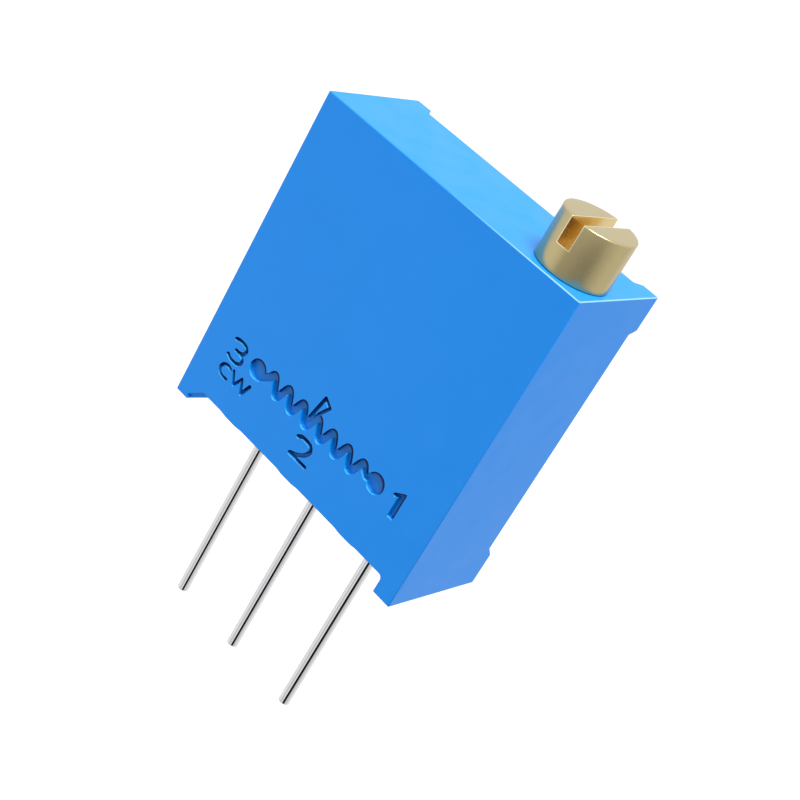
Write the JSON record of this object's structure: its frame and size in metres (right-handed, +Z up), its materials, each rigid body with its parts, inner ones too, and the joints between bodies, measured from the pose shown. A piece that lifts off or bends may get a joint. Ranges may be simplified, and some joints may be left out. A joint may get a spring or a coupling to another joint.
{
  "type": "trimmer potentiometer",
  "caption": "Square multiturn trimmer potentiometer: blue sealed housing, slotted brass adjustment screw on the top edge and straight round pins in line underneath.",
  "frame": {"origin": "on the middle pin's axis, in the seating plane under the bottom feet", "axes": "+X along the row of pins towards the screw's side, +Y from the marked front face to the potted back, +Z up, towards the screw's head"},
  "size_m": [0.0096, 0.004, 0.0182],
  "materials": {
    "housing_plastic": "moulded thermoplastic polyester, satin",
    "brass": "turned brass, bright",
    "seal_rubber": "moulded silicone rubber",
    "clip_steel": "stamped stainless steel",
    "wheel_plastic": "moulded acetal",
    "contact_alloy": "stamped precious-metal alloy",
    "alumina": "fired alumina",
    "resistive_film": "fired cermet ink",
    "conductive_film": "fired silver-palladium ink",
    "tinned_wire": "drawn copper wire, bright tinned",
    "solder": "reflowed solder",
    "potting_resin": "cast epoxy"
  },
  "bodies": {
    "case": {"housing": "housing_plastic", "screw_retainer": "clip_steel", "ceramic_substrate": "alumina", "resistor_track": "resistive_film", "collector_track": "conductive_film", "conductor_pad_1": "conductive_film", "conductor_pad_3": "conductive_film", "terminal_1": "tinned_wire", "terminal_2": "tinned_wire", "terminal_3": "tinned_wire", "solder_joint_1": "solder", "solder_joint_2": "solder", "solder_joint_3": "solder", "sealing_resin": "potting_resin"},
    "screw": {"adjustment_screw": "brass", "shaft_o_ring": "seal_rubber"},
    "rotor": {"rotor_gear": "wheel_plastic", "wiper_spring": "contact_alloy"}
  },
  "joints": [
    {"name": "adjuster_turn", "type": "hinge", "parent": "case", "child": "screw", "pos_m": [0.00352, -0.00081, 0.01016], "axis": [0, 0, 1], "range_deg": [-4500, 4500]},
    {"name": "wiper_turn", "type": "hinge", "parent": "case", "child": "rotor", "pos_m": [-0.0004, -0.00081, 0.00532], "axis": [0, 1, 0], "range_deg": [-152, 152]}
  ],
  "couplings": [
    {"joint": "wiper_turn", "follows": "adjuster_turn", "ratio": 0.033333}
  ]
}
